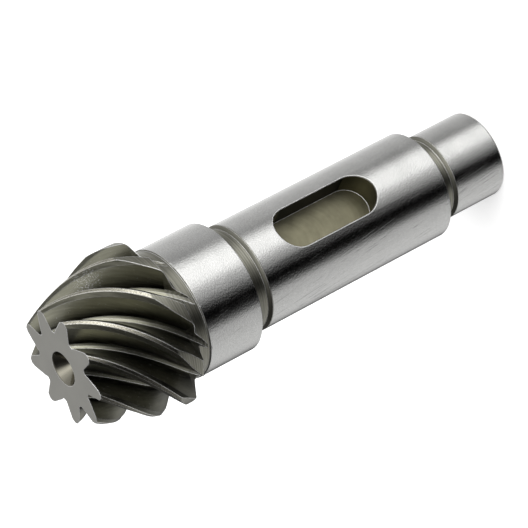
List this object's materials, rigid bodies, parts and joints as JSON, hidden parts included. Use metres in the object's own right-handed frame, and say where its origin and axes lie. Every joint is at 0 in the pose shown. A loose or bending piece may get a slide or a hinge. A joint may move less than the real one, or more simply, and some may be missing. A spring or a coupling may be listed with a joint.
{
  "type": "spiral bevel pinion shaft",
  "caption": "Small spiral bevel pinion cut on the end of its own stepped shaft, with ground bearing seats, relief grooves, a round-ended keyway and a centre hole.",
  "frame": {"origin": "middle of the flat end face of the end journal, which is the bottom of the part", "axes": "+Z along the shaft axis towards the toothed head, -Y out of the keyway"},
  "size_m": [0.015, 0.015, 0.0455],
  "materials": {
    "steel": "ground seats, teeth and grooves as machined"
  },
  "bodies": {
    "root": {"pinion_shaft": "steel"}
  },
  "joints": []
}
